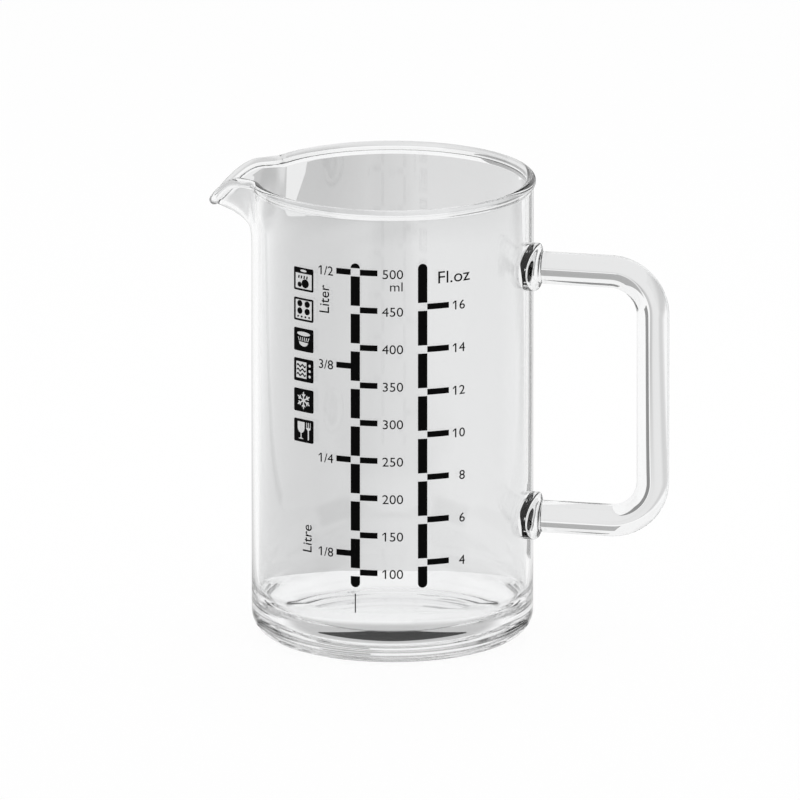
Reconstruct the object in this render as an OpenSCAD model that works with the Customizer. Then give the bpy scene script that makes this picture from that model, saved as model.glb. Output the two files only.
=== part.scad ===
// Half-litre glass measuring jug: blown body with a drawn pouring spout, a bent rod handle
// fused on at two pads, and measuring scales fired onto the wall in black enamel.
// Millimetres. Z is the jug's axis, the base stands on z = 0, the handle points along +X
// and the spout along -X. The scales are on the -Y side.

/* [Glass body] */
// Outside diameter of the wall
body_d = 80; // [72:1:92]
// Height from the table to the top of the rim
jug_h = 133.5; // [128:0.5:150]
// Thickness of the wall
wall_t = 1.9; // [1.4:0.1:2.8]
// Thickness of the glass under the inside floor
base_t = 4.2; // [3:0.1:6]
// Outside radius where the wall turns into the base
heel_r = 6.8; // [4:0.1:9]
// Inside radius where the wall turns into the floor
floor_r = 12; // [8:0.5:16]
// Depth of the shallow hollow under the base
punt_h = 1.2; // [0.5:0.1:2]
// Diameter of the shallow hollow under the base
punt_d = 54; // [36:1:56]
// Diameter of the fire-polished bead round the rim
rim_d = 2.8; // [2.4:0.1:4]
// How far the bead's centre lies outside the middle of the wall
rim_out = 0.2; // [0:0.05:0.4]

/* [Pouring spout] */
// How far the tip of the lip stands out from the wall
spout_reach = 12.6; // [8:0.1:16]
// How far the tip of the lip lies below the rim
spout_drop = 8.3; // [4:0.1:11]
// Height of wall below the rim that is drawn out
spout_h = 19; // [15:0.5:26]
// Angle from the middle of the spout to where it runs into the round rim
spout_half_angle = 25; // [20:0.5:32]
// Angle from the middle of the spout to where the lip is level with the rim
lip_half_angle = 16; // [11:0.5:20]

/* [Handle] */
// Diameter of the bent glass rod
rod_d = 9.2; // [7:0.1:12]
// Clear room for the fingers between the wall and the grip
finger_gap = 31.1; // [25:0.1:40]
// Depth of the upper arm's centre line below the top of the rim
handle_drop = 24.3; // [18:0.1:36]
// Distance between the centre lines of the two arms
handle_span = 72.9; // [60:0.1:80]
// Radius of the bends, to the centre of the rod
bend_r = 12.2; // [8:0.1:16]
// Width of the flared pad where an arm is fused to the wall
pad_w = 19.2; // [14:0.1:24]
// Height of the flared pad where an arm is fused to the wall
pad_h = 13.2; // [12:0.1:18]
// Length of the flare along the arm
pad_l = 3.4; // [2:0.1:6]
// Thickness of the flare where it ends on the wall
pad_edge = 0.3; // [0.2:0.1:1]

/* [Enamel scales] */
// Thickness of the fired enamel
print_t = 0.1; // [0.05:0.01:0.2]
// First mark of the metric scale, in millilitres
ml_first = 100; // [50:50:150]
// Step of the metric scale, in millilitres
ml_step = 50; // [50:50:100]
// First mark of the ounce scale, in imperial fluid ounces
oz_first = 4; // [2:2:6]
// Step of the ounce scale, in imperial fluid ounces
oz_step = 2; // [2:2:4]
// Width of the two long scale bars
bar_w = 2.7; // [1.8:0.1:3.5]
// Gap left in a bar where a mark crosses it
bar_gap = 2.4; // [2:0.1:3]
// How far a bar runs on above its highest metric mark
bar_head = 2.6; // [2:0.1:4]
// How far a bar runs on below its lowest metric mark
bar_tail = 4.4; // [3.5:0.1:6]
// Height of a mark
tick_t = 1.7; // [1:0.05:1.9]
// Length of a millilitre mark
ml_tick_l = 5; // [3:0.1:6]
// Length of a litre mark
litre_tick_l = 4.3; // [3:0.1:6]
// Length of an ounce mark
oz_tick_l = 6.4; // [4:0.1:8]
// Direction of the metric bar, from the front towards the handle
metric_bar_at = -2.2; // [-10:0.1:5]
// Direction of the ounce bar, from the front towards the handle
ounce_bar_at = 25.3; // [20:0.1:35]
// Direction of the column of care tiles, from the front towards the handle
tiles_at = -25.9; // [-40:0.1:-22]
// Number of care tiles
tile_count = 6; // [1:1:7]
// Depth of the column's top edge below the highest metric mark
tile_drop = 0.7; // [0:0.1:3]
// Width of a care tile
tile_w = 7; // [5:0.1:9]
// Height of a care tile
tile_h = 6.7; // [5:0.1:8]
// Gap between two care tiles
tile_gap = 2.15; // [1:0.05:4]
// Line width of a framed care tile
tile_line = 0.55; // [0.4:0.05:1]
// Number of care tiles, from the top, that are frames round a clear field
framed_tiles = 2; // [0:1:7]
// Length of the fine registration line under the metric bar
line_l = 5.6; // [3:0.1:8]
// Width of the fine registration line
line_w = 0.3; // [0.2:0.05:0.6]
// Gap between the metric bar and the registration line
line_gap = 1.9; // [1:0.1:3]

/* [Hidden] */
$fn = 96;

glass = [0.85, 0.9, 0.9, 0.45];
enamel = [0.05, 0.05, 0.05];

// Radii of the wall: outside, inside and half way through
outer_r = body_d / 2;
inner_r = outer_r - wall_t;
middle_r = outer_r - wall_t / 2;
// The bead is thicker than the wall that runs into it, also where the wall is made thick
bead_d = max(rim_d, wall_t + 2 * rim_out + 0.3);
rim_z = jug_h - bead_d / 2;

// The spout's wall leaves the vertical at bend_z and turns towards bend_bias of its rise
bend_z = rim_z - spout_h;
bend_bias = 0.65;
// The drawn wall fills a window in the round one, lapped into its edges by a hair inside its skin
spout_margin = 4.5;
lap_angle = 0.8;
lap_rows = 0.06;
lap_skin = 0.03;
spout_columns = 30;
wall_rows = 12;
bead_points = 10;
// Where the two faces of the wall run into the bead, as shares of the rise
bead_start = 0.88;
slope_step = 0.001;

handle_top = jug_h - handle_drop;
arm_bottom = handle_top - handle_span;
grip_x = outer_r + finger_gap + rod_d / 2;
bend_x = grip_x - bend_r;
// The pad's blank starts this far below the wall's skin, before the wall cuts it
pad_sink = 1.5;
pad_sides = 48;
pad_rings = 8;
arm_x = outer_r + pad_edge + pad_l;

// Room under the lip of the spout, which no mark passes
lip_level = rim_z - spout_drop - bead_d / 2;
ounce_ml = 28.4131;
litre_step = 125;
// A margin for cuts that pass right through
over = 2;

// Height to which a volume in millilitres fills the jug, over its rounded inside heel
heel_corner = (1 - PI / 4) * floor_r ^ 2;
heel_corner_r = inner_r - floor_r * (10 - 3 * PI) / (12 - 3 * PI);
heel_loss = 2 * PI * heel_corner_r * heel_corner;
function level(ml) = base_t + (ml * 1000 + heel_loss) / (PI * inner_r ^ 2);

// The marks that stay below the lip
scale_end = PI * inner_r ^ 2 * (lip_level - base_t) / 1000;
ml_marks = [for (v = [ml_first : ml_step : scale_end]) if (level(v) < lip_level - bar_head) v];
ml_last = ml_marks[len(ml_marks) - 1];
litre_marks = [for (v = [litre_step : litre_step : ml_last]) v];
bar_bottom = level(ml_first) - bar_tail;
bar_top = level(ml_last) + bar_head;
oz_marks = [
    for (v = [oz_first : oz_step : scale_end / ounce_ml])
        if (level(v * ounce_ml) < bar_top - bar_w - bar_gap) v
];

// Wave that falls from 1 in the middle to 0 at u = 1 and beyond
function wave(u) = abs(u) >= 1 ? 0 : cos(90 * u) ^ 2;

// Reach and drop of the lip at an angle from the middle of the spout
function lip_out(a) = spout_reach * wave(a / spout_half_angle);
function lip_z(a) = rim_z - spout_drop * wave(a / lip_half_angle);

// Middle of the spout's wall, from t = 0 where it leaves the vertical to t = 1 at the lip
function drawn_wall(a, t) =
    let (
        z2 = lip_z(a),
        z1 = bend_z + bend_bias * (z2 - bend_z),
        u = max(t, 0),
        r = middle_r + lip_out(a) * u ^ 2,
        curve_z = (1 - u) ^ 2 * bend_z + 2 * u * (1 - u) * z1 + u ^ 2 * z2,
        z = curve_z + min(t, 0) * (z2 - bend_z)
    )
    [-r * cos(a), -r * sin(a), z];

function unit(v) = v / norm(v);
function along_lip(a, t) = drawn_wall(a + slope_step, t) - drawn_wall(a - slope_step, t);
function up_wall(a, t) = unit(drawn_wall(a, t + slope_step) - drawn_wall(a, t - slope_step));
function out_of_wall(a, t) = unit(cross(along_lip(a, t), up_wall(a, t)));

// One section of the drawn wall: up the outside, over the bead and down the inside
function wall_section(a) =
    let (
        half = wall_t / 2 - lap_skin,
        bead_r = bead_d / 2 - lap_skin,
        n = out_of_wall(a, 1),
        up = up_wall(a, 1),
        centre = drawn_wall(a, 1) + n * rim_out,
        from = -acos((half - rim_out) / bead_r),
        to = 180 + acos((half + rim_out) / bead_r),
        rows = [for (i = [0 : wall_rows]) -lap_rows + (bead_start + lap_rows) * i / wall_rows]
    )
    concat(
        [for (t = rows) drawn_wall(a, t) + out_of_wall(a, t) * half],
        [for (i = [0 : bead_points])
            let (w = from + (to - from) * i / bead_points)
            centre + bead_r * (n * cos(w) + up * sin(w))],
        [for (i = [wall_rows : -1 : 0])
            drawn_wall(a, rows[i]) - out_of_wall(a, rows[i]) * half]
    );

// Faces across one section of m points, in rungs from its outside to its inside
function section_faces(m) = [
    for (j = [0 : floor(m / 2) - 1])
        each concat(
            j + 1 < m - 2 - j ? [[j, j + 1, m - 2 - j]] : [],
            [[j, m - 2 - j, m - 1 - j]]
        )
];

// Wall drawn out into the spout, as a skin lofted through its sections
module drawn_spout() {
    half_angle = spout_half_angle + spout_margin;
    angles = [for (i = [0 : spout_columns]) half_angle * (2 * i / spout_columns - 1)];
    sections = [for (a = angles) wall_section(a)];
    m = len(sections[0]);
    last = spout_columns * m;
    skin = [
        for (i = [0 : spout_columns - 1], j = [0 : m - 1])
            let (p = i * m + j, q = i * m + (j + 1) % m)
            each [[p, q, q + m], [p, q + m, p + m]]
    ];
    first_end = [for (f = section_faces(m)) [f[2], f[1], f[0]]];
    last_end = [for (f = section_faces(m)) [for (k = f) k + last]];
    polyhedron(
        points = [for (s = sections) each s],
        faces = concat(skin, first_end, last_end)
    );
}

// Opening in the round wall that the drawn spout fills
module spout_window() {
    half_angle = spout_half_angle + spout_margin - lap_angle;
    rotate([0, 0, 180 - half_angle])
        rotate_extrude(angle = 2 * half_angle)
            translate([inner_r - bead_d, bend_z])
                square([wall_t + 2 * bead_d, spout_h + bead_d]);
}

// Half outline of the round glass: wall, heel, floor, hollow base and rim bead
module glass_outline() {
    punt_r = (punt_d ^ 2 / 4 + punt_h ^ 2) / (2 * punt_h);
    difference() {
        union() {
            translate([0, heel_r])
                square([outer_r, rim_z - heel_r]);
            square([outer_r - heel_r, heel_r]);
            translate([outer_r - heel_r, heel_r])
                circle(r = heel_r);
        }
        translate([0, base_t + floor_r])
            square([inner_r, jug_h]);
        translate([0, base_t])
            square([inner_r - floor_r, jug_h]);
        translate([inner_r - floor_r, base_t + floor_r])
            circle(r = floor_r);
        intersection() {
            translate([0, punt_h - punt_r])
                circle(r = punt_r, $fn = 360);
            translate([0, -over])
                square([punt_d, punt_h + 2 * over]);
        }
    }
    translate([middle_r + rim_out, rim_z])
        circle(d = bead_d);
}

module glass_body() {
    color(glass)
        union() {
            difference() {
                rotate_extrude()
                    glass_outline();
                spout_window();
            }
            drawn_spout();
        }
}

// Quarter bend of the rod from the grip up to the upper arm
module quarter_bend() {
    rotate([90, 0, 0])
        rotate_extrude(angle = 90)
            translate([bend_r, 0])
                circle(d = rod_d);
}

module handle_arm(z) {
    translate([arm_x, 0, z])
        rotate([0, 90, 0])
            cylinder(d = rod_d, h = bend_x - arm_x);
}

module handle_rod() {
    color(glass)
        union() {
            handle_arm(handle_top);
            handle_arm(arm_bottom);
            translate([bend_x, 0, handle_top - bend_r])
                quarter_bend();
            translate([bend_x, 0, arm_bottom + bend_r])
                mirror([0, 0, 1])
                    quarter_bend();
            translate([grip_x, 0, arm_bottom + bend_r])
                cylinder(d = rod_d, h = handle_span - 2 * bend_r);
        }
}

// Point of a flared pad at an angle round the arm: turn is 90 on the wall and 0 at the arm
function pad_point(around, turn, sunk) =
    let (
        growth = 1 - cos(turn),
        y = (rod_d / 2 + (pad_w - rod_d) / 2 * growth) * cos(around),
        z = (rod_d / 2 + (pad_h - rod_d) / 2 * growth) * sin(around),
        sag = outer_r - sqrt(outer_r ^ 2 - y ^ 2),
        away = sunk ? -pad_sink : pad_edge + pad_l * (1 - sin(turn))
    )
    [outer_r + away - growth * sag, y, z];

// Blank of a flared pad, lofted from below the wall's skin to the end of the arm
module pad_blank() {
    n = pad_sides;
    turns = [for (i = [0 : pad_rings]) 90 - 90 * i / pad_rings];
    rings = concat(
        [[for (k = [0 : n - 1]) pad_point(360 * k / n, 90, true)]],
        [for (t = turns) [for (k = [0 : n - 1]) pad_point(360 * k / n, t, false)]]
    );
    last = (len(rings) - 1) * n;
    skin = [
        for (i = [0 : len(rings) - 2], k = [0 : n - 1])
            let (p = i * n + k, q = i * n + (k + 1) % n)
            each [[p, q + n, q], [p, p + n, q + n]]
    ];
    polyhedron(
        points = [for (r = rings) each r],
        faces = concat(
            skin,
            [for (k = [1 : n - 2]) [0, k, k + 1]],
            [for (k = [1 : n - 2]) [last, last + k + 1, last + k]]
        )
    );
}

// Pad where an arm of the handle is fused to the round wall
module weld_pad(z) {
    color(glass)
        difference() {
            translate([0, 0, z])
                pad_blank();
            cylinder(r = outer_r, h = jug_h);
        }
}

module upper_weld_pad() {
    weld_pad(handle_top);
}

module lower_weld_pad() {
    weld_pad(arm_bottom);
}

// Enamel film on the wall: flat artwork wrapped on at an angle from the front
module on_wall(at) {
    color(enamel)
        intersection() {
            difference() {
                cylinder(r = outer_r + print_t, h = jug_h);
                translate([0, 0, -over])
                    cylinder(r = outer_r, h = jug_h + 2 * over);
            }
            rotate([0, 0, at - 90])
                rotate([90, 0, 90])
                    linear_extrude(height = outer_r + over)
                        children();
        }
}

// Long bar with round ends, broken where each mark crosses it
module scale_bar(levels) {
    difference() {
        union() {
            translate([-bar_w / 2, bar_bottom + bar_w / 2])
                square([bar_w, bar_top - bar_bottom - bar_w]);
            for (z = [bar_bottom + bar_w / 2, bar_top - bar_w / 2])
                translate([0, z])
                    circle(d = bar_w);
        }
        for (z = levels)
            translate([-bar_w, z - bar_gap / 2])
                square([2 * bar_w, bar_gap]);
    }
}

// Row of marks that start at the edge of a bar
module marks(levels, tick_l) {
    for (z = levels)
        translate([bar_w / 2, z - tick_t / 2])
            square([tick_l, tick_t]);
}

module metric_scale_bar() {
    on_wall(metric_bar_at)
        scale_bar([for (v = ml_marks) level(v)]);
}

module millilitre_ticks() {
    on_wall(metric_bar_at)
        marks([for (v = ml_marks) level(v)], ml_tick_l);
}

module litre_ticks() {
    on_wall(metric_bar_at)
        mirror([1, 0])
            marks([for (v = litre_marks) level(v)], litre_tick_l);
}

module ounce_scale_bar() {
    on_wall(ounce_bar_at)
        scale_bar([for (v = oz_marks) level(v * ounce_ml)]);
}

module ounce_ticks() {
    on_wall(ounce_bar_at)
        marks([for (v = oz_marks) level(v * ounce_ml)], oz_tick_l);
}

// Column of tiles for the care signs, hung from the highest metric mark
module care_symbol_tiles() {
    on_wall(tiles_at)
        for (i = [0 : tile_count - 1])
            translate([-tile_w / 2, level(ml_last) - tile_drop - tile_h - i * (tile_h + tile_gap)])
                difference() {
                    square([tile_w, tile_h]);
                    if (i < framed_tiles)
                        translate([tile_line, tile_line])
                            square([tile_w - 2 * tile_line, tile_h - 2 * tile_line]);
                }
}

module registration_line() {
    on_wall(metric_bar_at)
        translate([-line_w / 2, bar_bottom - line_gap - line_l])
            square([line_w, line_l]);
}

glass_body();
handle_rod();
upper_weld_pad();
lower_weld_pad();
metric_scale_bar();
millilitre_ticks();
litre_ticks();
ounce_scale_bar();
ounce_ticks();
care_symbol_tiles();
registration_line();
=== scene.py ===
import math

import bpy
from bpy.props import FloatProperty, FloatVectorProperty, IntProperty, PointerProperty
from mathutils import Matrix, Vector


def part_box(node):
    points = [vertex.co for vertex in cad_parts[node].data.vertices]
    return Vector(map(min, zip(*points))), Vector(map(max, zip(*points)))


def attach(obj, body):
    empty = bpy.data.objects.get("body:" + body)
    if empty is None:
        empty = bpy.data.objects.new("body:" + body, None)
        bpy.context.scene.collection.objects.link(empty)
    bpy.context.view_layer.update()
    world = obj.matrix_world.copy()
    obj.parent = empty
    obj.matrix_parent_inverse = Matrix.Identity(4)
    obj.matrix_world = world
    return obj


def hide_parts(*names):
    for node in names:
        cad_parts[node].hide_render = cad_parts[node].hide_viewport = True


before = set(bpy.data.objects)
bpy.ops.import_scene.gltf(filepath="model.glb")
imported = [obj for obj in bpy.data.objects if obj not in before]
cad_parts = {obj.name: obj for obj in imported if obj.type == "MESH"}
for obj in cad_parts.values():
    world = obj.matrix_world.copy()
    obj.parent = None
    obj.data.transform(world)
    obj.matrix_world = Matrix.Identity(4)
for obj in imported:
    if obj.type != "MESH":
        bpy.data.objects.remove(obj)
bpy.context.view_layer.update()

bl_info = {
    "name": "Glass measuring jug",
    "version": (1, 0, 0),
    "blender": (4, 5, 0),
    "location": "3D View > Sidebar > Jug",
    "description": "Builds the looks of a glass measuring jug round its packed solids",
    "category": "Object",
}

MM = 0.001
body_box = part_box("glass_body")
rod_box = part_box("handle_rod")
# Radius on which the enamel lies
WALL = 40 * MM
# Height of a figure in the text font at size 1
FIGURE = 0.69
# Width and height of a care sign in the units of its outlines
SIGN_WIDE = 10
SIGN_HIGH = 9.3
# Direction of the camera, from the front towards the handle, and its height
VIEW_AZIMUTH = math.radians(13)
VIEW_ELEVATION = math.radians(15)
# Greys of the plain glowing cards, which paint a pale leaf and dark bands into the glass as
# reflections
PAINTED_LEAF_GREY = 0.86
PAINTED_ARM_GREY = 0.2
PAINTED_PAD_GREY = 0.25
# Heights of the flat cards of painted reflection and painted shade, in millimetres: a higher one
# hides those under it
SOFT_SHADE_UP = -0.035
SHADE_UP = -0.02
LEAF_UP = 0.01
SHEET_UP = 0.02
PAD_UP = 0.03


# Sizes and colours that a user would change

class JugBodySizes(bpy.types.PropertyGroup):
    """Sizes of the blown body"""

    radius: FloatProperty(
        name="Radius", description="Outside radius of the wall",
        default=39.99 * MM, unit="LENGTH", precision=5)
    height: FloatProperty(
        name="Height", description="Height of the rim above the table",
        default=body_box[1].z, unit="LENGTH", precision=5)
    wall: FloatProperty(
        name="Wall", description="Thickness of the wall",
        default=1.9 * MM, unit="LENGTH", precision=5)
    base: FloatProperty(
        name="Base", description="Thickness of the glass under the inside floor",
        default=4.2 * MM, unit="LENGTH", precision=5)
    heel: FloatProperty(
        name="Heel", description="Outside radius where the wall turns into the base",
        default=6.8 * MM, unit="LENGTH", precision=5)
    floor_heel: FloatProperty(
        name="Inside heel", description="Inside radius where the wall turns into the floor",
        default=12 * MM, unit="LENGTH", precision=5)
    punt_height: FloatProperty(
        name="Punt height", description="Depth of the shallow hollow under the base",
        default=1.2 * MM, unit="LENGTH", precision=5)
    punt_radius: FloatProperty(
        name="Punt radius", description="Radius of the shallow hollow under the base",
        default=27 * MM, unit="LENGTH", precision=5)
    bead_radius: FloatProperty(
        name="Bead radius", description="Radius of the fire-polished bead round the rim",
        default=1.4 * MM, unit="LENGTH", precision=5)
    bead_out: FloatProperty(
        name="Bead offset", description="How far the bead lies outside the middle of the wall",
        default=0.2 * MM, unit="LENGTH", precision=5)
    segments: IntProperty(
        name="Segments", description="Steps round the body", default=360, min=24)


class JugSpoutSizes(bpy.types.PropertyGroup):
    """Sizes of the drawn pouring spout"""

    reach: FloatProperty(
        name="Reach", description="How far the tip of the lip stands out from the wall",
        default=12.6 * MM, unit="LENGTH", precision=5)
    drop: FloatProperty(
        name="Drop", description="How far the tip of the lip lies below the rim",
        default=8.3 * MM, unit="LENGTH", precision=5)
    height: FloatProperty(
        name="Height", description="Height of wall below the rim that is drawn out",
        default=19 * MM, unit="LENGTH", precision=5)
    half_angle: FloatProperty(
        name="Half angle", description="Angle from the spout's middle to the round rim",
        default=math.radians(25), unit="ROTATION")
    lip_half_angle: FloatProperty(
        name="Lip half angle", description="Angle from the spout's middle to the level rim",
        default=math.radians(16), unit="ROTATION")
    bend_bias: FloatProperty(
        name="Bend bias", description="Share of the rise at which the wall turns outwards",
        default=0.65, min=0, max=1)


class JugHandleSizes(bpy.types.PropertyGroup):
    """Sizes of the bent rod handle"""

    rod_radius: FloatProperty(
        name="Rod radius", description="Radius of the bent glass rod",
        default=rod_box[1].y, unit="LENGTH", precision=5)
    bend_radius: FloatProperty(
        name="Bend radius", description="Radius of the bends, to the centre of the rod",
        default=12.2 * MM, unit="LENGTH", precision=5)
    bead_width: FloatProperty(
        name="Bead width", description="Width of the pressed bead at the end of an arm",
        default=19.4 * MM, unit="LENGTH", precision=5)
    bead_height: FloatProperty(
        name="Bead height", description="Height of the pressed bead at the end of an arm",
        default=13.2 * MM, unit="LENGTH", precision=5)
    bead_length: FloatProperty(
        name="Bead length", description="Length of the pressed bead along the arm",
        default=3.1 * MM, unit="LENGTH", precision=5)
    bead_edge: FloatProperty(
        name="Bead edge", description="Thickness of the pressed bead where it meets the wall",
        default=2 * MM, unit="LENGTH", precision=5)
    sides: IntProperty(
        name="Sides", description="Steps round the rod", default=64, min=12)


class JugPrintSizes(bpy.types.PropertyGroup):
    """Sizes of the fired enamel"""

    film: FloatProperty(
        name="Film", description="Thickness of the fired enamel",
        default=0.1 * MM, unit="LENGTH", precision=5)
    numeral: FloatProperty(
        name="Numeral height", description="Height of the numerals",
        default=2.62 * MM, unit="LENGTH", precision=5)
    ounce_word: FloatProperty(
        name="Ounce word height", description="Height of the capital in the ounce scale's unit",
        default=3.5 * MM, unit="LENGTH", precision=5)
    litre_word: FloatProperty(
        name="Litre word height", description="Height of the capitals in the upright litre words",
        default=3.1 * MM, unit="LENGTH", precision=5)
    sink: FloatProperty(
        name="Numeral offset", description="How far a numeral's middle lies below its mark",
        default=0.3 * MM, unit="LENGTH", precision=5)
    sign_width: FloatProperty(
        name="Sign width", description="Width of a care sign",
        default=7 * MM, unit="LENGTH", precision=5)
    sign_height: FloatProperty(
        name="Sign height", description="Height of a care sign",
        default=6.7 * MM, unit="LENGTH", precision=5)
    sign_gap: FloatProperty(
        name="Sign gap", description="Gap between two care signs",
        default=2.15 * MM, unit="LENGTH", precision=5)
    sign_direction: FloatProperty(
        name="Sign direction", description="Direction of the signs, from front to handle",
        default=math.radians(-25.9), unit="ROTATION")


class JugLooks(bpy.types.PropertyGroup):
    """Colours of the jug and its stage"""

    glass: FloatVectorProperty(
        name="Glass", description="Tint of the glass, for light that passes one wall",
        default=(0.965, 0.968, 0.97), subtype="COLOR", min=0, max=1)
    enamel: FloatVectorProperty(
        name="Enamel", description="Colour of the fired enamel",
        default=(0.003, 0.003, 0.003), subtype="COLOR", min=0, max=1)
    floor: FloatVectorProperty(
        name="Floor", description="Colour of the floor",
        default=(0.96, 0.96, 0.96), subtype="COLOR", min=0, max=1)
    # The grey sheet behind the jug glows and only glass and enamel see it: a painted reflection.
    painted_back_reflection: FloatProperty(
        name="Back card", description="Brightness of the grey sheet behind the jug, at its left",
        default=0.56, min=0, max=1, subtype="FACTOR")
    # The dark cards beside the jug glow and only glass and enamel see them: painted dark
    # reflections at the glass's edges.
    painted_side_reflection: FloatProperty(
        name="Side cards", description="Brightness of the dark cards beside the jug",
        default=0.02, min=0, max=1, subtype="FACTOR")
    contact: FloatProperty(
        name="Contact shade", description="Brightness of the shade where the jug meets the floor",
        default=0.005, min=0, max=1, subtype="FACTOR")


# Small helpers for modelling

def deselect_all():
    if bpy.context.mode != "OBJECT":
        bpy.ops.object.mode_set(mode="OBJECT")
    bpy.ops.object.select_all(action="DESELECT")


def pick(*objects):
    """Selects only these objects and makes the last one active."""
    deselect_all()
    for obj in objects:
        obj.select_set(True)
    bpy.context.view_layer.objects.active = objects[-1]


def steps_between(start, end, steps):
    return [start + (end - start) * i / steps for i in range(steps + 1)]


def arc(centre, radius, start, end, steps):
    """Points (x, z) along an arc, angles in degrees."""
    turns = [math.radians(turn) for turn in steps_between(start, end, steps)]
    return [(centre[0] + radius * math.cos(t), centre[1] + radius * math.sin(t)) for t in turns]


def spread(start, end, steps):
    """Points (x, z) along a straight line, without its last point."""
    shares = [i / steps for i in range(steps)]
    return [(start[0] + (end[0] - start[0]) * s, start[1] + (end[1] - start[1]) * s)
            for s in shares]


def keep_piece(obj, name, slot, *nodes):
    """Names a finished piece, rides it on the jug and hides the solids it stands for."""
    obj.name = name
    obj.data.name = name
    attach(obj, "root")
    if nodes:
        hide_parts(*nodes)


# Shape of the drawn spout

def wave(share):
    """Falls from 1 in the middle to 0 at a share of 1 and beyond."""
    return 0.0 if abs(share) >= 1 else math.cos(math.pi / 2 * share) ** 2


def drawn_wall(body, spout, angle, rise):
    """Middle of the spout's wall at an angle from its middle, from rise 0 to 1 at the lip."""
    middle = body.radius - body.wall / 2
    rim = body.height - body.bead_radius
    foot = rim - spout.height
    lip = rim - spout.drop * wave(angle / spout.lip_half_angle)
    knee = foot + spout.bend_bias * (lip - foot)
    out = spout.reach * wave(angle / spout.half_angle)
    r = middle + out * rise ** 2
    z = (1 - rise) ** 2 * foot + 2 * rise * (1 - rise) * knee + rise ** 2 * lip
    return Vector((-r * math.cos(angle), -r * math.sin(angle), z))


def rise_at(share, bias):
    """Rise at which an undrawn wall reaches a share of its height."""
    slack = 2 * bias - 1
    return (bias - math.sqrt(bias ** 2 - slack * share)) / slack


def drawn_axes(body, spout, angle, rise):
    """The wall's outward normal and its upward direction at a place on the spout."""
    step = 1e-4
    before, after = (drawn_wall(body, spout, angle + way, rise) for way in (-step, step))
    low, high = (drawn_wall(body, spout, angle, level)
                 for level in (max(rise - step, 0), min(rise + step, 1)))
    side, up = after - before, high - low
    return side.cross(up).normalized(), up.normalized()


def draw_out_spout(obj, body, spout):
    """Moves the vertices of the round wall out into the spout."""
    middle = body.radius - body.wall / 2
    rim = body.height - body.bead_radius
    foot = rim - spout.height
    bead_foot = rim - body.bead_radius * 0.9
    for vertex in obj.data.vertices:
        x, y, z = vertex.co
        angle = math.atan2(-y, -x)
        if z <= foot or abs(angle) >= spout.half_angle:
            continue
        off_wall = math.hypot(x, y) - middle
        in_bead = z >= bead_foot
        rise = 1 if in_bead else rise_at((z - foot) / spout.height, spout.bend_bias)
        normal, up = drawn_axes(body, spout, angle, rise)
        vertex.co = drawn_wall(body, spout, angle, rise) + normal * off_wall
        if in_bead:
            vertex.co += up * (z - rim)


# The blown glass

def body_outline(body, spout):
    """Half outline of the jug, from the middle of the inside floor to the middle of the hollow."""
    inner = body.radius - body.wall
    middle = body.radius - body.wall / 2
    rim = body.height - body.bead_radius
    foot = rim - spout.height
    bead_x = middle + body.bead_out
    inner_turn = math.degrees(math.acos((body.wall / 2 + body.bead_out) / body.bead_radius))
    outer_turn = math.degrees(math.acos((body.wall / 2 - body.bead_out) / body.bead_radius))
    wall_top = foot + 0.88 * spout.height
    punt_r = (body.punt_radius ** 2 + body.punt_height ** 2) / (2 * body.punt_height)
    punt_half = math.degrees(math.asin(body.punt_radius / punt_r))
    floor_turn = (inner - body.floor_heel, body.base + body.floor_heel)
    heel_turn = (body.radius - body.heel, body.heel)
    inner_foot, outer_foot = floor_turn[1] + 4 * MM, heel_turn[1] + 2 * MM
    # Steps along the straight runs and round the turns
    floor_steps, wall_steps, spout_steps, ring_steps = 8, 10, 24, 4
    floor_heel_steps, bead_steps, heel_steps, punt_steps = 28, 28, 18, 10
    return (
        spread((0, body.base), (floor_turn[0], body.base), floor_steps)
        + arc(floor_turn, body.floor_heel, -90, 0, floor_heel_steps)
        + spread((inner, inner_foot), (inner, foot), wall_steps)
        + spread((inner, foot), (inner, wall_top), spout_steps)
        + [(inner, wall_top)]
        + arc((bead_x, rim), body.bead_radius, 180 + inner_turn, -outer_turn, bead_steps)
        + spread((body.radius, wall_top), (body.radius, foot), spout_steps)
        + spread((body.radius, foot), (body.radius, outer_foot), wall_steps)
        + arc(heel_turn, body.heel, 0, -90, heel_steps)
        + spread((heel_turn[0], 0), (body.punt_radius, 0), ring_steps)[1:]
        + arc((0, body.punt_height - punt_r), punt_r, 90 - punt_half, 90, punt_steps)
    )


def blow_body(body, spout):
    """Spins the outline into a closed jug and draws out the spout."""
    points = body_outline(body, spout)
    deselect_all()
    bpy.ops.mesh.primitive_circle_add(vertices=len(points), radius=body.radius)
    jug = bpy.context.object
    for vertex, (x, z) in zip(jug.data.vertices, points):
        vertex.co = (x, 0, z)
    bpy.ops.object.mode_set(mode="EDIT")
    bpy.ops.mesh.select_mode(type="EDGE")
    bpy.ops.mesh.select_all(action="DESELECT")
    bpy.ops.object.mode_set(mode="OBJECT")
    ends = {0, len(points) - 1}
    for edge in jug.data.edges:
        edge.select = set(edge.vertices) == ends
    bpy.ops.object.mode_set(mode="EDIT")
    bpy.ops.mesh.delete(type="EDGE")
    bpy.ops.mesh.select_all(action="SELECT")
    bpy.ops.mesh.spin(
        steps=body.segments, angle=math.tau, center=(0, 0, 0), axis=(0, 0, 1), use_auto_merge=True)
    bpy.ops.mesh.select_all(action="SELECT")
    bpy.ops.mesh.remove_doubles(threshold=1e-6)
    bpy.ops.mesh.normals_make_consistent(inside=False)
    bpy.ops.object.mode_set(mode="OBJECT")
    draw_out_spout(jug, body, spout)
    bpy.ops.object.shade_smooth()
    return jug


def grow_ring(step, scale, centre):
    """Extrudes the selected ring by a step and sets its size about its new centre."""
    bpy.ops.mesh.extrude_region_move(TRANSFORM_OT_translate={"value": step})
    bpy.ops.transform.resize(value=scale, center_override=centre)


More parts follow.
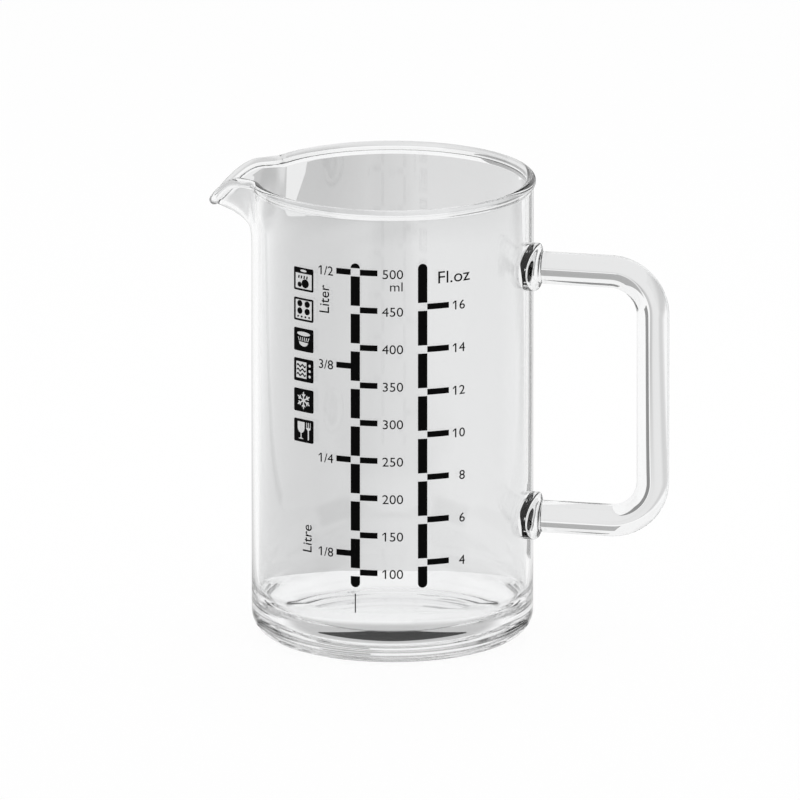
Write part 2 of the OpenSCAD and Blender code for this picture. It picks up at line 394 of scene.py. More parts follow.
def bead_rings(handle):
    """Distance from the wall, half width and half height of each ring of a pressed bead."""
    rod = handle.rod_radius
    wide, high = handle.bead_width / 2, handle.bead_height / 2
    dome = handle.bead_length - handle.bead_edge
    sunk = 1.2 * MM
    steps = 18
    rings = [(-sunk, wide, high)]
    for i in range(steps + 1):
        turn = math.pi / 2 * i / steps
        rings.append((handle.bead_edge + dome * math.sin(turn),
                      rod + (wide - rod) * math.cos(turn), rod + (high - rod) * math.cos(turn)))
    return rings


def lay_on_wall(rod, handle, body):
    """Bends the beads, which were drawn flat, round the wall."""
    for vertex in rod.data.vertices:
        away = (vertex.co.x - body.radius) / handle.bead_length
        if away < 1.01:
            vertex.co.x -= body.radius - math.sqrt(body.radius ** 2 - vertex.co.y ** 2)


def grow_rings(rings, wall_x, level):
    """Extrudes the selected ring through the rings of a bead."""
    for (x0, w0, h0), (x1, w1, h1) in zip(rings, rings[1:]):
        grow_ring((x1 - x0, 0, 0), (1, w1 / w0, h1 / h0), (wall_x + x1, 0, level))


def grow_straight(x, z, steps):
    """Extrudes the selected ring straight on, in steps."""
    for i in range(steps):
        grow_ring((x / steps, 0, z / steps), (1, 1, 1), (0, 0, 0))


def turn_bend(x, z, steps=20):
    """Spins the selected ring a quarter turn round the middle of a bend."""
    bpy.ops.mesh.spin(steps=steps, angle=-math.pi / 2, center=(x, 0, z), axis=(0, 1, 0))


def bend_handle(handle, body):
    """Draws a rod from bead to bead round two bends."""
    grip_x = rod_box[1].x - handle.rod_radius
    top = rod_box[1].z - handle.rod_radius
    bottom = rod_box[0].z + handle.rod_radius
    bend_x = grip_x - handle.bend_radius
    rings = bead_rings(handle)
    first_x, wide, high = rings[0]
    start = (body.radius + first_x, 0, top)
    deselect_all()
    bpy.ops.mesh.primitive_circle_add(
        vertices=handle.sides, radius=wide, location=start, rotation=(0, math.pi / 2, 0))
    rod = bpy.context.object
    bpy.ops.object.transform_apply(location=True, rotation=True, scale=True)
    bpy.ops.object.mode_set(mode="EDIT")
    bpy.ops.mesh.select_all(action="SELECT")
    bpy.ops.transform.resize(value=(1, 1, high / wide), center_override=start)
    arm = bend_x - (body.radius + rings[-1][0])
    grip = top - bottom - 2 * handle.bend_radius
    arm_steps, grip_steps = 6, 10
    grow_rings(rings, body.radius, top)
    grow_straight(arm, 0, arm_steps)
    turn_bend(bend_x, top - handle.bend_radius)
    grow_straight(0, -grip, grip_steps)
    turn_bend(bend_x, bottom + handle.bend_radius)
    grow_straight(-arm, 0, arm_steps)
    grow_rings(rings[::-1], body.radius, bottom)
    bpy.ops.mesh.select_all(action="SELECT")
    bpy.ops.mesh.remove_doubles(threshold=1e-7)
    bpy.ops.mesh.fill_holes(sides=0)
    bpy.ops.mesh.select_all(action="SELECT")
    bpy.ops.mesh.normals_make_consistent(inside=False)
    bpy.ops.object.mode_set(mode="OBJECT")
    lay_on_wall(rod, handle, body)
    bpy.ops.object.shade_smooth()
    return rod


def fuse(jug, rod):
    """Joins the rod to the body, so that one unbroken glass runs through both."""
    pick(jug)
    weld = jug.modifiers.new("weld", "BOOLEAN")
    weld.operation = "UNION"
    weld.solver = "EXACT"
    weld.object = rod
    bpy.ops.object.modifier_apply(modifier=weld.name)
    bpy.data.objects.remove(rod)
    pick(jug)
    bpy.ops.object.shade_smooth_by_angle(angle=math.radians(40))


# The fired enamel

def wrap_on_wall(obj, radius, at, level):
    """Bends flat artwork, with its depth along z, round the wall at a direction and a height."""
    for vertex in obj.data.vertices:
        x, y, depth = vertex.co
        turn = at + x / radius
        out = radius + depth
        vertex.co = (out * math.sin(turn), -out * math.cos(turn), level + y)


def flat_mesh(obj, film):
    """Turns a flat text or curve, drawn in its own plane, into a clean film of enamel."""
    obj.data.extrude = film / 2
    pick(obj)
    bpy.ops.object.convert(target="MESH")
    bpy.ops.object.mode_set(mode="EDIT")
    bpy.ops.mesh.select_all(action="SELECT")
    bpy.ops.transform.translate(value=(0, 0, film / 2))
    bpy.ops.mesh.remove_doubles(threshold=1e-7)
    bpy.ops.mesh.normals_make_consistent(inside=False)
    bpy.ops.object.mode_set(mode="OBJECT")
    bpy.ops.object.shade_flat()


def flat_outline(lines, film):
    """Film of enamel with clear fields, from closed outlines one inside another."""
    art = bpy.data.curves.new("outline", "CURVE")
    art.dimensions = "2D"
    art.fill_mode = "BOTH"
    for line in lines:
        path = art.splines.new("POLY")
        path.points.add(len(line) - 1)
        for point, (x, y) in zip(path.points, line):
            point.co = (x, y, 0, 1)
        path.use_cyclic_u = True
    film_obj = bpy.data.objects.new("outline", art)
    bpy.context.scene.collection.objects.link(film_obj)
    flat_mesh(film_obj, film)
    return film_obj


def flag_first_one(word, height, film):
    """Adds the slanted upstroke that the font's figure 1 lacks."""
    stem = min(vertex.co.x for vertex in word.data.vertices)
    long, deep, thick = 0.24 * height, 0.22 * height, 0.15 * height
    upstroke = [(stem, height), (stem - long, height - deep),
                (stem - long, height - deep - thick), (stem, height - thick)]
    flag = flat_outline([upstroke], film)
    pick(flag, word)
    bpy.ops.object.join()


def write_word(text, height, stretch, film, upright=False):
    """Flat word with figures of a given height, ending at the origin or centred upright there."""
    deselect_all()
    bpy.ops.object.text_add()
    word = bpy.context.object
    word.data.body = text
    word.data.size = height / FIGURE
    word.data.align_x = "CENTER" if upright else "RIGHT"
    word.data.resolution_u = 4
    flat_mesh(word, film)
    if text.startswith("1"):
        flag_first_one(word, height, film)
    for vertex in word.data.vertices:
        x, y, depth = vertex.co
        x, y = x * stretch, y - height / 2
        vertex.co = (-y, x, depth) if upright else (x, y, depth)
    return word


def join_piece(parts, name, *nodes):
    """Joins finished parts into one piece of enamel."""
    pick(*parts)
    bpy.ops.object.join()
    piece = bpy.context.object
    keep_piece(piece, name, "black_enamel", *nodes)
    return piece


def mark_levels(node):
    """Heights of the marks of one scale, from the lowest up."""
    heights = sorted({round(v.co.z, 5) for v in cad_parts[node].data.vertices})
    return [(low + high) / 2 for low, high in zip(heights[::2], heights[1::2])]


def number_scale(name, texts, levels, at, stretch, sizes, words):
    """Writes the numbers of one scale beside its marks, and its unit words."""
    rows = [(text, sizes.numeral, stretch, at, level - sizes.sink, False)
            for text, level in zip(texts, levels)]
    parts = []
    for text, height, wide, row_at, level, upright in rows + words:
        part = write_word(text, height, wide, sizes.film, upright)
        wrap_on_wall(part, WALL, math.radians(row_at), level)
        parts.append(part)
    return join_piece(parts, name)


# Outlines of the care signs, in tenths of a sign's width, from its lower left corner

def box_line(x0, y0, x1, y1):
    return [(x0, y0), (x1, y0), (x1, y1), (x0, y1)]


def disc_line(x, y, rx, ry=None, start=0, end=360, steps=24):
    ry = ry or rx
    turns = [math.radians(turn) for turn in steps_between(start, end, steps)[:-1]]
    return [(x + rx * math.cos(t), y + ry * math.sin(t)) for t in turns]


def tile_line(corner=0.6):
    """Outline of a whole tile with rounded corners."""
    right, top = SIGN_WIDE - corner, SIGN_HIGH - corner
    line = []
    for x, y, start in ((right, corner, -90), (right, top, 0),
                        (corner, top, 90), (corner, corner, 180)):
        line += disc_line(x, y, corner, start=start, end=start + 112.5, steps=5)
    return line


def wave_band(x0, x1, y, rise, width, steps=16):
    """A band with two waves."""
    shares = [i / steps for i in range(steps + 1)]
    line = [(x0 + (x1 - x0) * s, y + rise * math.sin(s * 2 * math.tau)) for s in shares]
    return line + [(x, h - width) for x, h in reversed(line)]


def star_line(x, y, reach, width):
    """A snow crystal with six branched arms."""
    arm = [(0.9, -1), (2.6, -1), (3.6, -3.2), (4.6, -2.8), (3.9, -1), (5.2, -1), (6, 0)]
    arm += [(a, -b) for a, b in reversed(arm[:-1])]
    points = []
    for k in range(6):
        turn = math.radians(60 * k + 30)
        for a, b in arm:
            u, v = a / 6 * reach, b * width / 2
            points.append((x + u * math.cos(turn) - v * math.sin(turn),
                           y + u * math.sin(turn) + v * math.cos(turn)))
    return points


def washer_sign():
    """Machine with a spray over plates."""
    spray = [[(x, 4.9), (x + 0.6, 4.9), (x + 0.8, 6.1), (x + 0.2, 6.1)]
             for x in (2.2, 3.6, 5, 6.4)]
    return [tile_line(), box_line(0.8, 0.8, 9.2, 7), disc_line(5, 8.1, 1.7, 0.5),
            disc_line(5.9, 3, 1.8), disc_line(3, 2.4, 1.05)] + spray


def hob_sign():
    """Four cooking zones over a row of knobs."""
    zones = [disc_line(x, y, 1.3) for x in (3.1, 6.9) for y in (4, 7)]
    knobs = [disc_line(x, 1.75, 0.42, steps=12) for x in (2.2, 4.1, 6, 7.9)]
    return [tile_line(), box_line(0.8, 0.8, 9.2, 8.5)] + zones + knobs


def heat_sign():
    """Dish under a lid, with heat rising from it."""
    lid = disc_line(5, 7.1, 3.4, 0.87)
    dish = disc_line(5, 3.9, 2.4, 1.9, 180, 360)
    heat = []
    for lean in (-1, -0.6, -0.2, 0.2, 0.6, 1):
        foot, tip = 5 + 2.1 * lean, 5 + 2.8 * lean
        heat.append([(foot - 0.22, 4.1), (foot + 0.22, 4.1), (tip + 0.25, 5.7), (tip - 0.25, 5.7)])
    return [tile_line(), lid, dish] + heat


def oven_sign():
    """Waves in a chamber beside three knobs."""
    waves = [wave_band(1.5, 6.2, y, 0.45, 0.7) for y in (3.1, 4.9, 6.7)]
    knobs = [disc_line(8.1, y, 0.6, steps=14) for y in (2.4, 4.6, 6.8)]
    return [tile_line(), box_line(1.1, 1.3, 6.6, 8)] + waves + knobs


def frost_sign():
    """Snow crystal."""
    return [tile_line(), star_line(5, 4.65, 3.7, 0.62)]


def food_sign():
    """Goblet beside a fork."""
    bowl = disc_line(3.7, 6, 1.9, 2.4, 180, 360, 16)
    stem = [(3.4, 3.6), (3.4, 1.8), (2.2, 1.2), (5.2, 1.2), (4, 1.8), (4, 3.6)]
    goblet = [(1.8, 8.2)] + bowl[1:8] + stem + bowl[9:] + [(5.6, 8.2)]
    fork = [(7.1, 1.1), (7.8, 1.1), (7.8, 4.9), (8.6, 5.7), (8.6, 8.2), (8.2, 8.2), (8.2, 6.1),
            (7.7, 6.1), (7.7, 8.2), (7.2, 8.2), (7.2, 6.1), (6.7, 6.1), (6.7, 8.2), (6.3, 8.2),
            (6.3, 5.7), (7.1, 4.9)]
    return [tile_line(), goblet, fork]


def draw_sign(lines, sizes):
    """Flat sign, cut into strips so that it can bend round the wall."""
    unit = sizes.sign_width / SIGN_WIDE
    rise = sizes.sign_height / SIGN_HIGH
    middle = SIGN_WIDE / 2
    sign = flat_outline(
        [[((x - middle) * unit, (y - SIGN_HIGH) * rise) for x, y in line] for line in lines],
        sizes.film)
    bpy.ops.object.mode_set(mode="EDIT")
    for i in range(1, SIGN_WIDE):
        bpy.ops.mesh.select_all(action="SELECT")
        bpy.ops.mesh.bisect(plane_co=((i - middle) * unit, 0, 0), plane_no=(1, 0, 0))
    bpy.ops.object.mode_set(mode="OBJECT")
    return sign


# Materials

def new_material(name):
    material = bpy.data.materials.new(name)
    material.use_nodes = True
    material.node_tree.nodes.clear()
    return material


def join_nodes(tree, *links):
    """Links outputs of nodes to inputs, given in pairs."""
    for output, socket in links:
        tree.links.new(output, socket)


def mottle_group():
    """Slow or fine unevenness of a fired surface: a value between two limits, and its height."""
    group = bpy.data.node_groups.new("fired_mottle", "ShaderNodeTree")
    for name, way in (("Scale", "INPUT"), ("Stretch", "INPUT"), ("Low", "INPUT"), ("High", "INPUT"),
                      ("Value", "OUTPUT"), ("Height", "OUTPUT")):
        kind = "NodeSocketVector" if name == "Stretch" else "NodeSocketFloat"
        group.interface.new_socket(name=name, in_out=way, socket_type=kind)
    given = group.nodes.new("NodeGroupInput")
    result = group.nodes.new("NodeGroupOutput")
    place = group.nodes.new("ShaderNodeTexCoord")
    pull = group.nodes.new("ShaderNodeVectorMath")
    pull.operation = "MULTIPLY"
    noise = group.nodes.new("ShaderNodeTexNoise")
    noise.inputs["Detail"].default_value = 3
    spread_out = group.nodes.new("ShaderNodeMapRange")
    spread_out.inputs["From Min"].default_value = 0.3
    spread_out.inputs["From Max"].default_value = 0.7
    join_nodes(
        group,
        (place.outputs["Object"], pull.inputs[0]),
        (given.outputs["Stretch"], pull.inputs[1]),
        (pull.outputs["Vector"], noise.inputs["Vector"]),
        (given.outputs["Scale"], noise.inputs["Scale"]),
        (noise.outputs["Fac"], spread_out.inputs["Value"]),
        (given.outputs["Low"], spread_out.inputs["To Min"]),
        (given.outputs["High"], spread_out.inputs["To Max"]),
        (spread_out.outputs["Result"], result.inputs["Value"]),
        (noise.outputs["Fac"], result.inputs["Height"]))
    return group


def add_mottle(tree, scale, stretch, low, high):
    """Places the shared unevenness in a material with its own values."""
    node = tree.nodes.new("ShaderNodeGroup")
    node.node_tree = bpy.data.node_groups.get("fired_mottle") or mottle_group()
    for name, value in (("Scale", scale), ("Stretch", stretch), ("Low", low), ("High", high)):
        node.inputs[name].default_value = value
    return node


def add_relief(tree, mottle, shader, depth):
    """Bumps a surface by the height of its unevenness."""
    bump = tree.nodes.new("ShaderNodeBump")
    bump.inputs["Distance"].default_value = depth
    tree.links.new(mottle.outputs["Height"], bump.inputs["Height"])
    tree.links.new(bump.outputs["Normal"], shader.inputs["Normal"])


def add_tint(tree, mottle, shader, colour):
    """Varies a surface's colour by the value of its unevenness."""
    tint = tree.nodes.new("ShaderNodeMix")
    tint.data_type = "RGBA"
    dark, full = (socket for socket in tint.inputs if socket.type == "RGBA")
    dark.default_value = (0, 0, 0, 1)
    full.default_value = (*colour, 1)
    mixed = next(socket for socket in tint.outputs if socket.type == "RGBA")
    tree.links.new(mottle.outputs["Value"], tint.inputs["Factor"])
    tree.links.new(mixed, shader.inputs["Base Color"])


def blown_glass(looks):
    """Clear glass with the slow waves of blown glass, which lets light through to the floor."""
    material = new_material("blown_glass")
    tree = material.node_tree
    shader = tree.nodes.new("ShaderNodeBsdfPrincipled")
    shader.inputs["Roughness"].default_value = 0
    shader.inputs["IOR"].default_value = 1.473
    shader.inputs["Transmission Weight"].default_value = 1
    waves = add_mottle(tree, 60, (1, 1, 0.35), 0.985, 1)
    add_tint(tree, waves, shader, looks.glass)
    add_relief(tree, waves, shader, 0.003 * MM)
    clear = tree.nodes.new("ShaderNodeBsdfTransparent")
    clear.inputs["Color"].default_value = (0.95, 0.95, 0.95, 1)
    path = tree.nodes.new("ShaderNodeLightPath")
    either = tree.nodes.new("ShaderNodeMath")
    either.operation = "MAXIMUM"
    mix = tree.nodes.new("ShaderNodeMixShader")
    out = tree.nodes.new("ShaderNodeOutputMaterial")
    join_nodes(
        tree,
        (path.outputs["Is Shadow Ray"], either.inputs[0]),
        (path.outputs["Is Diffuse Ray"], either.inputs[1]),
        (either.outputs["Value"], mix.inputs["Fac"]),
        (shader.outputs["BSDF"], mix.inputs[1]),
        (clear.outputs["BSDF"], mix.inputs[2]),
        (mix.outputs["Shader"], out.inputs["Surface"]))
    return material


def fired_enamel(looks):
    """Black enamel with the faint grain and uneven gloss of a fired print."""
    material = new_material("fired_enamel")
    tree = material.node_tree
    shader = tree.nodes.new("ShaderNodeBsdfPrincipled")
    shader.inputs["Specular IOR Level"].default_value = 0.03
    grain = add_mottle(tree, 1400, (1, 1, 1), 0.45, 1)
    add_tint(tree, grain, shader, looks.enamel)
    add_relief(tree, grain, shader, 0.004 * MM)
    gloss = add_mottle(tree, 240, (1, 1, 1), 0.34, 0.5)
    tree.links.new(gloss.outputs["Value"], shader.inputs["Roughness"])
    out = tree.nodes.new("ShaderNodeOutputMaterial")
    tree.links.new(shader.outputs["BSDF"], out.inputs["Surface"])
    return material


def give_material(obj, material):
    obj.data.materials.clear()
    obj.data.materials.append(material)


# The stage

def seen_directly(tree):
    """1 for a ray from the camera, or one that a glossy or clear surface sent on."""
    path = tree.nodes.new("ShaderNodeLightPath")
    value = path.outputs["Is Camera Ray"]
    for name in ("Is Glossy Ray", "Is Transmission Ray"):
        either = tree.nodes.new("ShaderNodeMath")
        either.operation = "MAXIMUM"
        tree.links.new(value, either.inputs[0])
        tree.links.new(path.outputs[name], either.inputs[1])
        value = either.outputs["Value"]
    return value


def set_floor(looks):
    """White floor that glows where it is seen, and keeps a share of the jug's shadow."""
    deselect_all()
    bpy.ops.mesh.primitive_plane_add(size=6, location=(0, 0, -0.05 * MM))
    floor = bpy.context.object
    floor.name = "studio_floor"
    material = new_material("studio_floor")
    tree = material.node_tree
    paper = tree.nodes.new("ShaderNodeBsdfDiffuse")
    paper.inputs["Color"].default_value = (*looks.floor, 1)
    glow = tree.nodes.new("ShaderNodeEmission")
    share = tree.nodes.new("ShaderNodeMath")
    share.operation = "MULTIPLY"
    share.inputs[1].default_value = 0.8
    mix = tree.nodes.new("ShaderNodeMixShader")
    out = tree.nodes.new("ShaderNodeOutputMaterial")
    join_nodes(
        tree,
        (seen_directly(tree), share.inputs[0]),
        (share.outputs["Value"], mix.inputs["Fac"]),
        (paper.outputs["BSDF"], mix.inputs[1]),
        (glow.outputs["Emission"], mix.inputs[2]),
        (mix.outputs["Shader"], out.inputs["Surface"]))
    give_material(floor, material)


def in_view(right, back, up=0.0):
    """Place given as seen by the camera: to the right, away behind the jug's axis, and up."""
    turn = VIEW_AZIMUTH
    return Vector((right * math.cos(turn) - back * math.sin(turn),
                   right * math.sin(turn) + back * math.cos(turn), up))


def ease(value, start, end):
    """Rises smoothly from 0 at a start to 1 at an end."""
    share = min(max((value - start) / (end - start), 0), 1)
    return share * share * (3 - 2 * share)


def painted_reflection_material():
    """Glows with the grey that each point of a card holds, as painted reflection or painted shade.
    """
    material = new_material("painted_reflection_card")
    tree = material.node_tree
    grey = tree.nodes.new("ShaderNodeAttribute")
    grey.attribute_name = "grey"
    glow = tree.nodes.new("ShaderNodeEmission")
    out = tree.nodes.new("ShaderNodeOutputMaterial")
    tree.links.new(grey.outputs["Color"], glow.inputs["Color"])
    tree.links.new(glow.outputs["Emission"], out.inputs["Surface"])
    return material


def lay_painted_sheet(name, rows, grey):
    """Glowing card of painted reflection or painted shade that only glass and enamel see, from rows
    of places as the camera sees them.
    """
    wide = len(rows[0])
    places = [place for row in rows for place in row]
    starts = [i for i in range(len(places) - wide) if (i + 1) % wide]
    faces = [(i, i + 1, i + wide + 1, i + wide) for i in starts]
    mesh = bpy.data.meshes.new(name)
    mesh.from_pydata([in_view(*place) for place in places], [], faces)
    shade = mesh.color_attributes.new("grey", "FLOAT_COLOR", "POINT")
    for point, place in zip(shade.data, places):
        level = grey(*place)
        point.color = (level, level, level, 1)
    card = bpy.data.objects.new(name, mesh)
    bpy.context.scene.collection.objects.link(card)
    give_material(card, bpy.data.materials.get("painted_reflection_card") or painted_reflection_material())
    card.visible_camera = False
    card.visible_diffuse = False
    card.visible_shadow = False


def plain(level):
    """One grey all over a card."""
    return lambda right, back, up: level


def straight_rows(*rows):
    """Rows of places, from steps to the right, a distance behind and a height in millimetres."""
    return [[(right * MM, back * MM, up * MM) for right in rights] for rights, back, up in rows]


def set_painted_back_reflection(looks):
    """Glowing grey sheet behind the jug, paler to the right and at its left end, and a pale leaf:
    painted reflections that only the glass and enamel show.
    """
    steps = 36
    # Distance behind the jug's axis, left end and right end of each straight row, in millimetres
    ends = [(140, -84, 84), (300, -112, 120), (430, -130, 130), (463, -84, 130),
            (465, -42, 130), (515, -35, 130), (570, -32, 130)]

    def grey(right, back, up):
        level = looks.painted_back_reflection + 0.165 * ease(right, -26 * MM, 10 * MM)
        level += 0.1 * (1 - ease(back, 420 * MM, 480 * MM))
        level -= 0.25 * ease(right, 76 * MM, 100 * MM)
        return level + 0.75 * (1 - level) * ease(-right, 50 * MM, 112 * MM)

    turns = [math.radians(turn) for turn in steps_between(-82, 82, steps)]
    rows = [[(reach * math.sin(turn), reach * math.cos(turn), SHEET_UP * MM) for turn in turns]
            for reach in (49 * MM, 62 * MM)]
    rows += straight_rows(*((steps_between(left, right, steps), back, SHEET_UP)
                            for back, left, right in ends))
    lay_painted_sheet("painted_back_reflection", rows, grey)
    lay_painted_sheet("painted_leaf_reflection", straight_rows(*(((-130, -30), back, LEAF_UP) for back in (463, 620))),
             plain(PAINTED_LEAF_GREY))


def set_painted_side_reflections(looks):
    """Glowing cards beside the jug, before it and behind its handle, which draw the glass's edges
    and its handle with painted grey and dark reflections.
    """
    def side_grey(right, back, up):
        return 1 - (1 - looks.painted_side_reflection) * ease(up, 70 * MM, 90 * MM)

    def handle_grey(right, back, up):
        return 1 - 0.58 * ease(up, 18 * MM, 36 * MM)

    def front_grey(right, back, up):
        fade = max(ease(abs(right), 100 * MM, 160 * MM), 1 - ease(-back, 60 * MM, 90 * MM))
        return 0.55 + 0.45 * fade

    for name, right in (("left_painted_reflection", -260 * MM), ("right_painted_reflection", 260 * MM)):
        rows = [[(right, back, up * MM) for back in (-250 * MM, 160 * MM)]
                for up in (70, 80, 90, 300)]
        lay_painted_sheet(name, rows, side_grey)
    # The handle, arm and pad cards paint dark reflections into the handle and its weld pads.
    behind = 437
    lay_painted_sheet("painted_handle_reflection",
             straight_rows(*((rights, behind, up) for up, rights in (
                 (18, (70, 160)), (36, (70, 160)), (37, (42, 160)), (155, (42, 160))))),
             handle_grey)
    lay_painted_sheet("painted_arm_reflection", straight_rows(*(((40, 175), behind, up) for up in (290, 430))),
             plain(PAINTED_ARM_GREY))
    lay_painted_sheet("painted_pad_reflection",
             straight_rows(*((steps_between(left, right, 4), back, PAD_UP)
                             for back, left, right in ((70, 70, 86), (140, 90, 114),
                                                       (300, 136, 184), (480, 190, 270)))),
             plain(PAINTED_PAD_GREY))
    lay_painted_sheet("painted_front_reflection",
             straight_rows(*(((-160, -100, 0, 100, 160), back, SHEET_UP)
                             for back in (-60, -90, -500, -800))),
             front_grey)


def set_contact_shade(looks):
    """Shade on the floor under the front of the base and beside the heel."""
    def soft_grey(right, back, up):
        return 1 - 0.46 * ease(-back, 13 * MM, 22 * MM)

    def side_grey(right, back, up):
        reach, turn = math.hypot(right, back), math.degrees(math.atan2(abs(right), -back))
        depth = (ease(reach, 40 * MM, 41 * MM) * (1 - ease(reach, 52 * MM, 58 * MM))
                 * ease(turn, 46, 54) * (1 - ease(turn, 90, 98)))
        return 1 - (1 - looks.contact) * depth

    rows = [[(right, -front, SOFT_SHADE_UP * MM) for right in steps_between(-34 * MM, 34 * MM, 8)]
            for front in steps_between(12 * MM, 41 * MM, 14)]
    lay_painted_sheet("soft_shade", rows, soft_grey)
    for name, side in (("left_shade", -1), ("right_shade", 1)):
        rows = [[(side * reach * math.sin(turn), -reach * math.cos(turn), SHADE_UP * MM)
                 for turn in steps_between(math.radians(46), math.radians(98), 26)]
                for reach in steps_between(40 * MM, 58 * MM, 18)]
        lay_painted_sheet(name, rows, side_grey)
    # The front shade is a lens: towards its ends, its two edges bow to one another
    steps = 24
    turns = [math.radians(turn) for turn in steps_between(-41, 41, steps)]
    bows = [abs(2 * i / steps - 1) ** 1.4 for i in range(steps + 1)]
    rows = []
    for middle, bow in ((29.8 * MM, 2.7 * MM), (39.5 * MM, -6 * MM)):
        reaches = [middle + bow * share for share in bows]
        rows.append([(reach * math.sin(turn), -reach * math.cos(turn), SHADE_UP * MM)
                     for reach, turn in zip(reaches, turns)])
    lay_painted_sheet("front_shade", rows, plain(looks.contact))


def set_world():
    """Grey light from all round, seen as white."""
    world = bpy.data.worlds.new("studio")
    bpy.context.scene.world = world
    world.use_nodes = True
    tree = world.node_tree
    tree.nodes.clear()
    light = tree.nodes.new("ShaderNodeBackground")
    light.inputs["Color"].default_value = (0.5, 0.5, 0.5, 1)
    white = tree.nodes.new("ShaderNodeBackground")
    white.inputs["Color"].default_value = (0.94, 0.94, 0.94, 1)
    mix = tree.nodes.new("ShaderNodeMixShader")
    out = tree.nodes.new("ShaderNodeOutputWorld")
    join_nodes(
        tree,
        (seen_directly(tree), mix.inputs["Fac"]),
        (light.outputs["Background"], mix.inputs[1]),
        (white.outputs["Background"], mix.inputs[2]),
        (mix.outputs["Shader"], out.inputs["Surface"]))


def set_lights():
    """Large soft lamps over the jug and behind it, which glass doesn't mirror."""
    aim = Vector((0, 0, 0.07))
    for name, place, size, power in (
        ("overhead_box", (0, 0, 1.2), 1.4, 10),
        ("back_box", (-0.3, 1.6, 0.6), 1.2, 5),
    ):
        light = bpy.data.lights.new(name, "AREA")
        light.size = size
        light.energy = power
        lamp = bpy.data.objects.new(name, light)
        bpy.context.scene.collection.objects.link(lamp)
        lamp.location = place
        lamp.rotation_euler = (aim - lamp.location).to_track_quat("-Z", "Y").to_euler()
        lamp.visible_camera = False
        lamp.visible_glossy = False
        lamp.visible_transmission = False


def set_camera():
    """Long lens from far off, which shows the jug almost without perspective."""
    back = in_view(0, -math.cos(VIEW_ELEVATION), math.sin(VIEW_ELEVATION))
    aim = in_view(2.13 * MM, 0, 67.7 * MM)
    distance = 9.456
    camera = bpy.data.objects.new("photo_camera", bpy.data.cameras.new("photo_camera"))
    bpy.context.scene.collection.objects.link(camera)
    camera.data.sensor_width = 36
    camera.data.lens = 1500
    camera.location = aim + back * distance
    camera.rotation_euler = (-back).to_track_quat("-Z", "Y").to_euler()
    camera.data.clip_end = 50
    bpy.context.scene.camera = camera


# Operators and panel

class JUG_OT_glass(bpy.types.Operator):
    """Blows the body, bends the handle and fuses the two"""

    bl_idname = "jug.make_glass"
    bl_label = "Make glass"

    def execute(self, context):
        scene = context.scene
        jug = blow_body(scene.jug_body, scene.jug_spout)
        rod = bend_handle(scene.jug_handle, scene.jug_body)
        fuse(jug, rod)
        give_material(jug, blown_glass(scene.jug_looks))
        keep_piece(jug, "fused_glass", "clear_glass",
                   "glass_body", "handle_rod", "upper_weld_pad", "lower_weld_pad")
        return {"FINISHED"}


class JUG_OT_scales(bpy.types.Operator):
    """Gives the scale bars and marks their enamel"""

    bl_idname = "jug.fire_scales"
    bl_label = "Fire scales"

    def execute(self, context):
        enamel = fired_enamel(context.scene.jug_looks)
        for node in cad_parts.values():
            if not node.hide_render:
                give_material(node, enamel)
        return {"FINISHED"}


class JUG_OT_numbers(bpy.types.Operator):
    """Writes the numbers and units of the three scales"""

    bl_idname = "jug.write_numbers"
    bl_label = "Write numbers"

    def execute(self, context):
        sizes = context.scene.jug_print
        enamel = bpy.data.materials["fired_enamel"]
        metric = mark_levels("millilitre_ticks")
        litre = mark_levels("litre_ticks")
        ounce = mark_levels("ounce_ticks")
        millilitres = [str(100 + 50 * i) for i in range(len(metric))]
        ounces = [str(4 + 2 * i) for i in range(len(ounce))]
        fractions = ["1/8", "1/4", "3/8", "1/2"]
        # Directions in degrees, and widths against the font's own
        metric_at, ounce_at, litre_at = 17.5, 43.9, -11.6
        wide, ounce_word_wide, litre_word_wide = 1.08, 1.09, 0.97
        top = metric[-1]
        pieces = (
            number_scale(
                "metric_numerals", millilitres, metric, metric_at, wide, sizes,
                [("ml", sizes.numeral, wide, metric_at, top - 3.9 * MM, False)]),
            number_scale(
                "ounce_numerals", ounces, ounce, ounce_at, wide, sizes,
                [("Fl.oz", sizes.ounce_word, ounce_word_wide, 46.1, top - 1.7 * MM, False)]),
            number_scale(
                "litre_fractions", fractions, litre, litre_at, 1.0, sizes,
                [("Liter", sizes.litre_word, litre_word_wide, -15.8, top - 8.8 * MM, True),
                 ("Litre", sizes.litre_word, litre_word_wide, -24.1, litre[0] + 2.6 * MM, True)]),
        )
        for piece in pieces:
            give_material(piece, enamel)
        return {"FINISHED"}


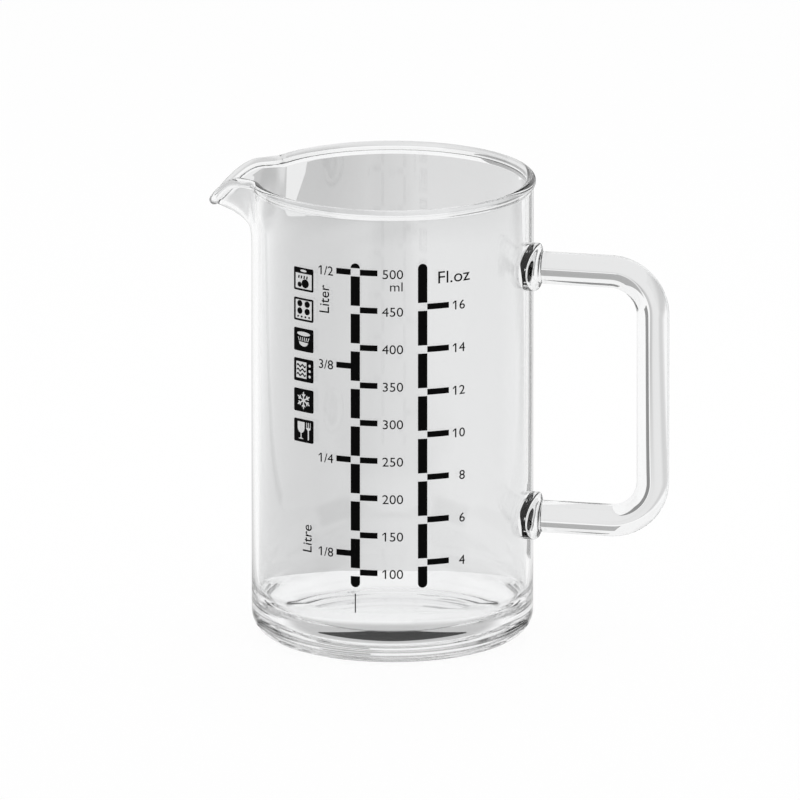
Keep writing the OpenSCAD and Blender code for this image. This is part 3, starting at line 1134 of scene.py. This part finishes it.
class JUG_OT_signs(bpy.types.Operator):
    """Draws the column of care signs"""

    bl_idname = "jug.draw_signs"
    bl_label = "Draw care signs"

    def execute(self, context):
        sizes = context.scene.jug_print
        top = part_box("care_symbol_tiles")[1].z
        pitch = sizes.sign_height + sizes.sign_gap
        column = (washer_sign, hob_sign, heat_sign, oven_sign, frost_sign, food_sign)
        signs = []
        for i, outline in enumerate(column):
            sign = draw_sign(outline(), sizes)
            wrap_on_wall(sign, WALL, sizes.sign_direction, top - i * pitch)
            signs.append(sign)
        piece = join_piece(signs, "care_signs", "care_symbol_tiles")
        give_material(piece, bpy.data.materials["fired_enamel"])
        return {"FINISHED"}


class JUG_OT_stage(bpy.types.Operator):
    """Sets the floor, the backdrop and other glowing cards of painted reflection and painted shade,
    the world, the lights and the camera
    """

    bl_idname = "jug.set_stage"
    bl_label = "Set stage"

    def execute(self, context):
        scene = context.scene
        set_floor(scene.jug_looks)
        set_painted_back_reflection(scene.jug_looks)
        set_painted_side_reflections(scene.jug_looks)
        set_contact_shade(scene.jug_looks)
        set_world()
        set_lights()
        set_camera()
        scene.view_settings.view_transform = "Standard"
        # Light turns back many times inside the thick base and the handle
        scene.cycles.max_bounces = 24
        scene.cycles.transmission_bounces = 24
        scene.cycles.glossy_bounces = 16
        return {"FINISHED"}


class JUG_PT_panel(bpy.types.Panel):
    """Lists the steps that build the jug"""

    bl_label = "Measuring jug"
    bl_idname = "JUG_PT_panel"
    bl_space_type = "VIEW_3D"
    bl_region_type = "UI"
    bl_category = "Jug"

    def draw(self, context):
        for operator in OPERATORS:
            self.layout.operator(operator.bl_idname)


GROUPS = {
    "jug_body": JugBodySizes,
    "jug_spout": JugSpoutSizes,
    "jug_handle": JugHandleSizes,
    "jug_print": JugPrintSizes,
    "jug_looks": JugLooks,
}
OPERATORS = (JUG_OT_stage, JUG_OT_glass, JUG_OT_scales, JUG_OT_numbers, JUG_OT_signs)
CLASSES = (*GROUPS.values(), *OPERATORS, JUG_PT_panel)


def register():
    for cls in CLASSES:
        bpy.utils.register_class(cls)
    for name, cls in GROUPS.items():
        setattr(bpy.types.Scene, name, PointerProperty(type=cls))


def unregister():
    for name in GROUPS:
        delattr(bpy.types.Scene, name)
    for cls in reversed(CLASSES):
        bpy.utils.unregister_class(cls)


def main():
    register()
    bpy.ops.jug.set_stage()
    bpy.ops.jug.make_glass()
    bpy.ops.jug.fire_scales()
    bpy.ops.jug.write_numbers()
    bpy.ops.jug.draw_signs()


if __name__ == "__main__":
    main()
